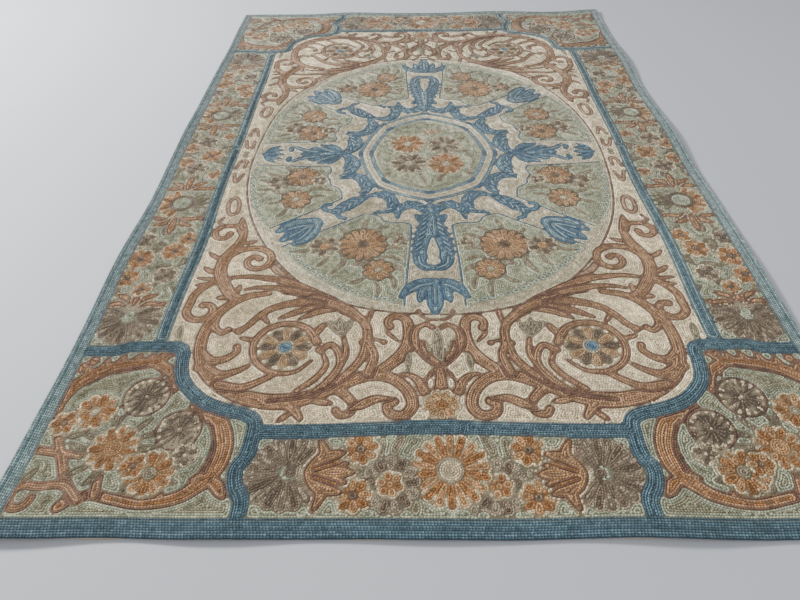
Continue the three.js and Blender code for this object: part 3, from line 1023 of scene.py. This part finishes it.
def mesh_of(name, points, corners, sizes, material, colours=None, places=None, local=None, smooth=False):
    """An object from arrays: points in metres, each face's corners in turn and its corner count."""
    mesh = bpy.data.meshes.new(name)
    mesh.vertices.add(len(points))
    mesh.vertices.foreach_set("co", points.ravel().astype(np.float32))
    mesh.loops.add(len(corners))
    mesh.loops.foreach_set("vertex_index", corners.astype(np.int32))
    mesh.polygons.add(len(sizes))
    starts = np.concatenate([[0], np.cumsum(sizes)[:-1]]).astype(np.int32)
    mesh.polygons.foreach_set("loop_start", starts)
    mesh.polygons.foreach_set("use_smooth", np.full(len(sizes), smooth))
    if colours is not None:
        attribute = mesh.attributes.new(COLOUR_AND_SHADE, "FLOAT_COLOR", "POINT")
        rgba = np.concatenate([colours, np.ones((len(colours), 1))], axis=1)
        attribute.data.foreach_set("color", rgba.ravel().astype(np.float32))
    if local is not None:
        attribute = mesh.attributes.new(IN_STITCH, "FLOAT_VECTOR", "POINT")
        attribute.data.foreach_set("vector", local.ravel().astype(np.float32))
    if places is not None:
        mesh.uv_layers.new(name=STITCH_MAP)
        mesh.uv_layers[STITCH_MAP].data.foreach_set("uv", places.ravel().astype(np.float32))
    mesh.update(calc_edges=True)
    mesh.materials.append(material)
    obj = bpy.data.objects.new(name, mesh)
    bpy.context.collection.objects.link(obj)
    return obj


def batches_and_far_shade(x, y):
    """How the dye varies over the rug from batch to batch, with a painted shade that darkens it towards
    the far end.
    """
    slow = np.sin(x / 131 + 1.3) * np.sin(y / 173 + 0.6) + 0.6 * np.sin(x / 67 - y / 89 + 2.4)
    return 1 + BATCH_SHADES * slow - FAR_PAINTED_SHADE * y / HALF_LENGTH


def mottled(x, y):
    """How the wool varies from one small patch of stitches to the next."""
    column, row = ((x + HALF_WIDTH) / PATCH).astype(int), ((y + HALF_LENGTH) / PATCH).astype(int)
    return patch_shades[row, column]


def stitch_mesh(name, chosen, material, rng):
    """All the stitches of one kind of yarn as one mesh. Each has its own cell of the map."""
    tails, heads = np.array(stitches.tails)[chosen], np.array(stitches.heads)[chosen]
    yarns, rows = np.array(stitches.yarns)[chosen], np.array(stitches.rows)[chosen]
    count = len(tails)
    along = heads - tails
    across = 1j * along / abs(along) * ROW
    width, lean = rng.uniform(*STITCH_WIDTHS, count), rng.uniform(*STITCH_LEANS, count)
    row, column = canvas.cell((tails + heads) / 2)
    padded = np.clip(canvas.depth[row, column] / FULL_FROM, 0, 1)
    height = (EDGE_HEIGHT + (1 - EDGE_HEIGHT) * padded) * rng.uniform(*STITCH_HEIGHTS, count)
    # Random tones of stitches, rows and patches, times the painted shade that darkens the far end.
    tones_and_far_shade = rng.uniform(*STITCH_TONES, count) * row_shades[rows]
    tones_and_far_shade *= batches_and_far_shade(tails.real, tails.imag) * mottled(tails.real, tails.imag)
    wool = linear([YARNS[yarn][1] for yarn in stitches.yarn_names])[yarns] * tones_and_far_shade[:, None]
    # Painted glare: towards the far end the colours are drawn to a warm grey.
    glare_grey = wool.mean(axis=1, keepdims=True) * GLARE_TINT
    wool += (FAR_GLARE * (0.5 + tails.imag / RUG_LENGTH))[:, None] * (glare_grey - wool)

    side_cells = math.ceil(math.sqrt(count))
    cell = np.empty(count)
    cell[np.lexsort((np.arange(count), yarns))] = np.arange(count)
    corner = np.stack([cell % side_cells, cell // side_cells], axis=-1)
    points, colours = [], []
    # Each corner takes the wool's colour times the drop's painted shade or painted highlight.
    for (s, n, z), tone in zip(DROP, DROP_PAINTED_LIGHT):
        at = tails + s * along + (n * width + lean * (z == 1)) * across
        points.append(laid(at.real, at.imag, CANVAS_TOP - SUNK + (STITCH_HEIGHT + SUNK) * height * z))
        colours.append(wool * tone)
    places = []
    for face in DROP_FACES:
        for i in face:
            s, n, z = DROP[i]
            on_top = (CELL_START + CELL_ALONG * (s - DROP[0][0]) / DROP_LENGTH, 0.5 + CELL_ACROSS * n)
            places.append((corner + (on_top if 3 in face else UNDERSIDE[i])) / side_cells)
    points = np.stack(points, axis=1).reshape(-1, 3)
    colours = np.stack(colours, axis=1).reshape(-1, 3)
    places = np.stack(places, axis=1).reshape(-1, 2)
    corners = (np.arange(count)[:, None] * len(DROP) + np.array(DROP_FACES).ravel()).ravel()
    local = np.tile([(s, n, 0) for s, n, z in DROP], (count, 1))
    sizes = np.full(len(DROP_FACES) * count, 3)
    return mesh_of(name, points, corners, sizes, material, colours, places, local)


# Materials
# The wool's tone at its darkest hair, and how much lighter its lightest hair is. Then for the yarn
# on each side of a stitch: its painted shade in the slit, the painted highlight that its roundness
# adds and what its twist adds, where its middle lies between the slit and the edge, how round it
# is, and its twist's turns and slant.
HAIR_TONES = (0.72, 0.56)
STRAND_SHADE_AND_TWIST = (0.66, 0.44, 0.05)
STRAND_MIDDLE, STRAND_ROUND = 0.55, 3.0
TWISTS = (24.0, 8.0)
COTTON_COLOUR = (205, 194, 172)


class Value:
    """A socket of a shader, on which sums are written as Python's."""

    def __init__(self, tree, socket):
        self.tree, self.socket = tree, socket

    def node(self, kind, settings=None, output=0, **inputs):
        """A new node. A value is linked to its input and a number is set; i0 is the first input."""
        made = self.tree.nodes.new(kind)
        for name, setting in (settings or {}).items():
            setattr(made, name, setting)
        for name, value in inputs.items():
            found = made.inputs[int(name[1:])] if name[0] == "i" and name[1:].isdigit() else None
            socket = found or made.inputs[name.replace("_", " ")]
            if isinstance(value, Value):
                self.tree.links.new(value.socket, socket)
            else:
                socket.default_value = value
        return Value(self.tree, made.outputs[output])

    def sum(self, operation, *terms):
        inputs = {f"i{i}": term for i, term in enumerate(terms)}
        return self.node("ShaderNodeMath", {"operation": operation}, **inputs)

    def __add__(self, other):
        return self.sum("ADD", self, other)

    __radd__ = __add__

    def __mul__(self, other):
        return self.sum("MULTIPLY", self, other)

    __rmul__ = __mul__

    def __sub__(self, other):
        return self.sum("SUBTRACT", self, other)

    def __rsub__(self, other):
        return self.sum("SUBTRACT", other, self)

    def __truediv__(self, other):
        return self.sum("DIVIDE", self, other)


def material(name):
    """A new material: its shader node and a value to write its sums from."""
    made = bpy.data.materials.new(name)
    made.use_nodes = True
    shader = made.node_tree.nodes["Principled BSDF"]
    start = Value(made.node_tree, shader.outputs[0])
    place = start.node("ShaderNodeTexCoord", output="Object")
    return made, shader, start, place


def plug(shader, name, value):
    value.tree.links.new(value.socket, shader.inputs[name])


def set_look(shader, **values):
    """Sets plain inputs of a shader."""
    for name, value in values.items():
        shader.inputs[name.replace("_", " ")].default_value = value


def bump(start, height, strength, depth):
    return start.node("ShaderNodeBump", Height=height, Strength=strength, Distance=depth)


def tinted(start, colour, bright):
    """A colour made brighter or darker by a number."""
    grey = start.node("ShaderNodeCombineColor", Red=bright, Green=bright, Blue=bright)
    return start.node("ShaderNodeMix", {"data_type": "RGBA", "blend_type": "MULTIPLY"}, output=2,
                      i0=1.0, i6=colour, i7=grey)


def wool_material(name, roughness, hair, depth, stitched=False):
    """Wool that takes its colour from the mesh, with fine hairs all over. In a stitch, the yarn
    goes down each side and leaves a slit in the middle, painted dark as shade; each side is painted
    lighter along its middle and darker at its edges, as a round strand is lit."""
    made, shader, start, place = material(name)
    colour = start.node("ShaderNodeAttribute", {"attribute_name": COLOUR_AND_SHADE}, output="Color")
    hairs = start.node("ShaderNodeTexNoise", Vector=place, Scale=hair, Detail=3.0, Roughness=0.6)
    tone, height = HAIR_TONES[0] + HAIR_TONES[1] * hairs, hairs
    if stitched:
        local = start.node("ShaderNodeAttribute", {"attribute_name": IN_STITCH}, output="Vector")
        along = start.node("ShaderNodeSeparateXYZ", Vector=local)
        across = Value(along.tree, along.socket.node.outputs["Y"])
        half_width = 0.03 + (along - DROP[0][0]) * (DROP[1][1] / DROP_LENGTH)
        off = start.sum("ABSOLUTE", across) / half_width - STRAND_MIDDLE
        # Painted light: the strand is lighter in its middle and darker towards the slit and its edge.
        strand = 1.0 - STRAND_ROUND * (off * off)
        twist = start.sum("SINE", TWISTS[0] * along + TWISTS[1] * off)
        tone = tone * (STRAND_SHADE_AND_TWIST[0] + STRAND_SHADE_AND_TWIST[1] * strand + STRAND_SHADE_AND_TWIST[2] * twist)
        height = 0.4 * hairs + 0.5 * strand + 0.1 * twist
    plug(shader, "Base Color", tinted(start, colour, tone))
    plug(shader, "Normal", bump(start, height, 0.5, depth))
    set_look(shader, Roughness=roughness, Specular_IOR_Level=0.2, Sheen_Weight=0.2, Sheen_Roughness=0.5)
    return made


def cotton_material():
    """Plain cotton cloth, unbleached, with its threads over and under each other."""
    made, shader, start, place = material("unbleached cotton")
    warp, weft = (start.node("ShaderNodeTexWave", {"bands_direction": way}, Vector=place, Scale=160.0,
                             Distortion=0.6) for way in "XY")
    cloth = 0.5 * warp + 0.5 * weft
    colour = start.node("ShaderNodeRGB")
    colour.socket.default_value = (*linear(COTTON_COLOUR), 1)
    plug(shader, "Base Color", tinted(start, colour, 0.8 + 0.25 * cloth))
    plug(shader, "Normal", bump(start, cloth, 0.4, 0.0004))
    set_look(shader, Roughness=0.9, Specular_IOR_Level=0.2)
    return made


# Pieces
def sheet_mesh(name, width, length, step, floor, top, material, colour_at=None,
               shows_at_near_end=False):
    """A closed sheet of cloth that follows the lifts and the drawn-in edges."""
    across = np.linspace(-width / 2, width / 2, round(width / step) + 1)
    down = np.linspace(-length / 2, length / 2, round(length / step) + 1)
    x, y = (grid.ravel() for grid in np.meshgrid(across, down))
    wide, long = len(across), len(down)
    if shows_at_near_end:
        near = swell((y + length / 2) / SHOW_FADES_OVER)
        shows = sum((past + BACKING_INSET) * swell((x - at) / half) for at, half, past in BACKING_SHOWS)
        y = y - near * shows
    points = np.concatenate([laid(x, y, np.full(len(x), top)), laid(x, y, np.full(len(x), floor))])
    j, i = (grid.ravel() for grid in np.meshgrid(np.arange(long - 1), np.arange(wide - 1), indexing="ij"))
    quad = np.stack([j * wide + i, j * wide + i + 1, (j + 1) * wide + i + 1, (j + 1) * wide + i], axis=-1)
    under = quad[:, ::-1] + len(x)
    rim = np.concatenate([np.arange(wide), np.arange(1, long) * wide + wide - 1,
                          (long - 1) * wide + np.arange(wide - 2, -1, -1),
                          np.arange(long - 2, 0, -1) * wide])
    after = np.roll(rim, -1)
    wall = np.stack([rim, rim + len(x), after + len(x), after], axis=-1)
    corners = np.concatenate([quad, under, wall])
    colours = colour_at(x, y) if colour_at else None
    if colours is not None:
        colours = np.concatenate([colours, colours])
    sizes = np.full(len(corners), 4)
    return mesh_of(name, points, corners.ravel(), sizes, material, colours, smooth=True)


def canvas_painted_shade(x, y):
    """The canvas's colour: painted shade, the wool of the motif over it darkened, as the gaps between the
    stitches lie in shade.
    """
    tones = linear([YARNS[STYLES[style][-1]][1] for style in canvas.motifs])
    row, column = canvas.cell(x + 1j * y)
    near = tones[canvas.owner[row, column]]
    near[canvas.edge_gap[row, column] < 0] = linear(YARNS["teal"][1])
    return CANVAS_PAINTED_SHADE * near * batches_and_far_shade(x, y)[:, None]


rng = np.random.default_rng(2026)
row_shades = rng.uniform(*ROW_TONES, stitches.row_number + 1)
patch_shades = rng.uniform(*PATCH_TONES, (RUG_LENGTH // PATCH + 2, RUG_WIDTH // PATCH + 2))
wool = wool_material("wool yarn", 0.92, 1400.0, 0.0005, stitched=True)
shade_between_stitches = wool_material("painted shade between the stitches", 0.97, 900.0, 0.0006)
cotton = cotton_material()

BACKING_WIDTH, BACKING_LENGTH = RUG_WIDTH - 2 * BACKING_INSET, RUG_LENGTH - 2 * BACKING_INSET
CANVAS_STEP, BACKING_STEP = 7, 20
# The canvas is painted dark between the stitches, as shade.
rug_canvas = sheet_mesh("stitched_canvas", RUG_WIDTH, RUG_LENGTH, CANVAS_STEP,
                        BACKING_THICKNESS + CLOTH_GAP, CANVAS_TOP, shade_between_stitches, canvas_painted_shade)
backing = sheet_mesh("cotton_backing", BACKING_WIDTH, BACKING_LENGTH, BACKING_STEP,
                     0.0, BACKING_THICKNESS, cotton, shows_at_near_end=True)
kinds = np.array([YARNS[yarn][0] for yarn in stitches.yarn_names])[np.array(stitches.yarns)]
worked = []
for kind in dict.fromkeys(piece for piece, colour in YARNS.values()):
    worked.append(stitch_mesh(kind, np.flatnonzero(kinds == kind), wool, rng))

for piece in (rug_canvas, *worked):
    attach(piece, "root")
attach(backing, "root")
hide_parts("rug_face")
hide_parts("backing_cloth")

# Floor, light and camera
FLOOR_SIZE, FLOOR_PLACE = 14, (0, 2, -0.0002)
FLOOR_COLOUR, SKY_COLOUR, SKY_STRENGTH = (0.575, 0.585, 0.61, 1), (0.95, 0.98, 1.04, 1), 0.56
bpy.ops.mesh.primitive_plane_add(size=FLOOR_SIZE, location=FLOOR_PLACE)
floor = bpy.context.object
floor.name = "floor"
floor_look, shader, *_ = material("pale floor")
set_look(shader, Base_Color=FLOOR_COLOUR, Roughness=0.7)
floor.data.materials.append(floor_look)

world = bpy.data.worlds.new("soft light all round")
bpy.context.scene.world = world
world.use_nodes = True
set_look(world.node_tree.nodes["Background"], Color=SKY_COLOUR, Strength=SKY_STRENGTH)


def lamp(name, at, size, power, colour):
    """A square lamp that points at the middle of the rug."""
    data = bpy.data.lights.new(name, "AREA")
    data.size, data.energy, data.color = size, power, colour
    obj = bpy.data.objects.new(name, data)
    obj.location = at
    obj.rotation_euler = (-Vector(at)).to_track_quat("-Z", "Y").to_euler()
    bpy.context.collection.objects.link(obj)


lamp("window light", (-2.6, 0.85, 1.55), 0.6, 168, (0.98, 0.99, 1.0))
lamp("fill light", (2.4, -1.5, 2.4), 2.5, 20, (0.96, 0.98, 1.0))

CAMERA_PLACE = Vector((-0.0500, -1.2112, 0.7372))
CAMERA_LENS, CAMERA_SENSOR = 26.0, 36.0
CAMERA_DOWN, CAMERA_LEFT, CAMERA_TILT = (math.radians(angle) for angle in (45.438, 1.0626, 1.042))
forward = Vector((-math.sin(CAMERA_LEFT) * math.cos(CAMERA_DOWN),
                  math.cos(CAMERA_LEFT) * math.cos(CAMERA_DOWN), -math.sin(CAMERA_DOWN)))
level_right = Vector((math.cos(CAMERA_LEFT), math.sin(CAMERA_LEFT), 0))
level_up = level_right.cross(forward)
right = math.cos(CAMERA_TILT) * level_right - math.sin(CAMERA_TILT) * level_up
up = math.sin(CAMERA_TILT) * level_right + math.cos(CAMERA_TILT) * level_up
camera = bpy.data.objects.new("camera", bpy.data.cameras.new("camera"))
camera.data.lens = CAMERA_LENS
camera.data.sensor_width = CAMERA_SENSOR
camera.matrix_world = Matrix((
    (right.x, up.x, -forward.x, CAMERA_PLACE.x),
    (right.y, up.y, -forward.y, CAMERA_PLACE.y),
    (right.z, up.z, -forward.z, CAMERA_PLACE.z),
    (0, 0, 0, 1),
))
bpy.context.collection.objects.link(camera)
bpy.context.scene.camera = camera
